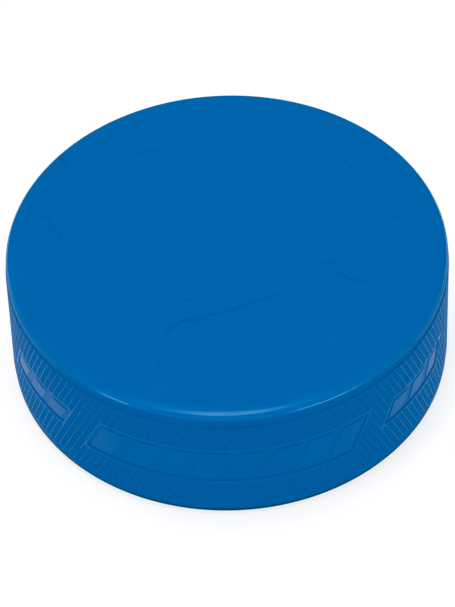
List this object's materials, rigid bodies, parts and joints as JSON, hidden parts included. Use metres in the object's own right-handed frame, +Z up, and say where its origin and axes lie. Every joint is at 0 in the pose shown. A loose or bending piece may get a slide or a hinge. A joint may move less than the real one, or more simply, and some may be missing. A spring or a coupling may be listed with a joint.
{
  "type": "ice hockey puck",
  "caption": "Solid rubber ice hockey puck: a flat disc with softly rounded edges, a diamond-knurled grip band round its side and blank sunk panels in the band.",
  "frame": {"origin": "centre of the lower flat face, which rests on the ice", "axes": "+Z up through the centre of the upper flat face, -Y towards the side that carries the long blank panel, +X to the right seen from there"},
  "size_m": [0.0762, 0.0762, 0.0254],
  "materials": {
    "blue_rubber": "satin moulded rubber, coloured through"
  },
  "bodies": {
    "root": {"puck_body": "blue_rubber"}
  },
  "joints": []
}
